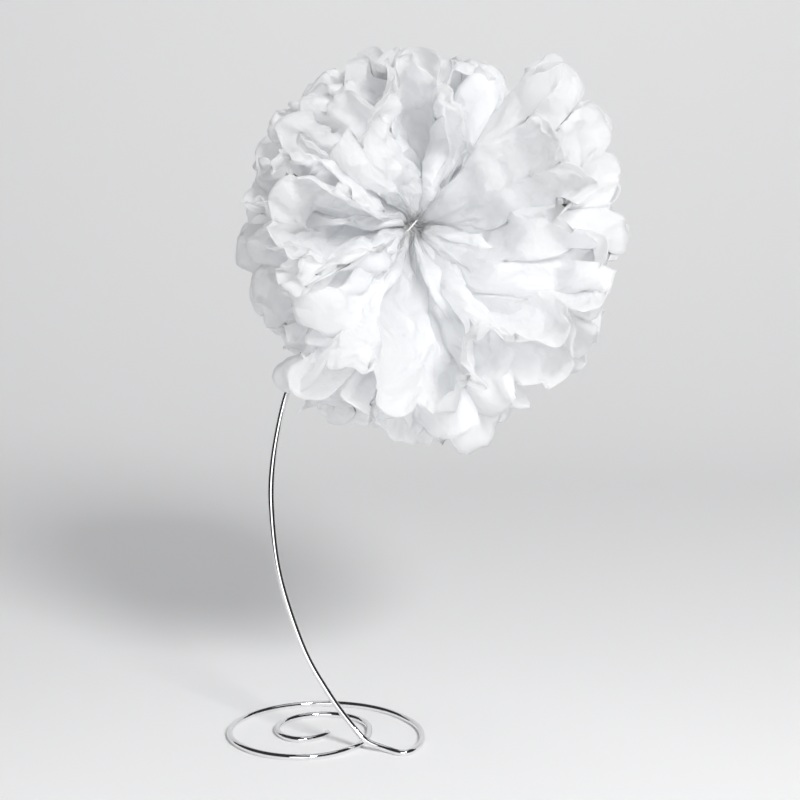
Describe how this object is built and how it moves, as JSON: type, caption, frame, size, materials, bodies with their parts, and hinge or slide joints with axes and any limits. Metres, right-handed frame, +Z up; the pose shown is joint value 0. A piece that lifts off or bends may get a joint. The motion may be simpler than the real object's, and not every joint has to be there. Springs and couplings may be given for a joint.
{
  "type": "tissue paper pom pom on a wire stand",
  "caption": "Ball of pleated white tissue sheets, tied at the waist and fanned out, held up on a bowed chromed wire stand with a flat coil base.",
  "frame": {"origin": "on the table, below the middle of the whole object's box", "axes": "+Z up, along the object's height; -Y is the front, where the knot of the ball faces; +X is the side that the ball leans to"},
  "size_m": [0.268, 0.2658, 0.4559],
  "materials": {
    "white_tissue": "thin white tissue paper, matt, crumpled and a little translucent",
    "chrome": "bright chromed steel wire",
    "florist_wire": "thin florist's wire coated white"
  },
  "bodies": {
    "root": {"wire_stand": "chrome", "tie_wire": "florist_wire", "tissue_sheet_1": "white_tissue", "tissue_sheet_2": "white_tissue", "tissue_sheet_3": "white_tissue", "tissue_sheet_4": "white_tissue", "tissue_sheet_5": "white_tissue", "tissue_sheet_6": "white_tissue", "tissue_sheet_7": "white_tissue", "tissue_sheet_8": "white_tissue"}
  },
  "joints": []
}
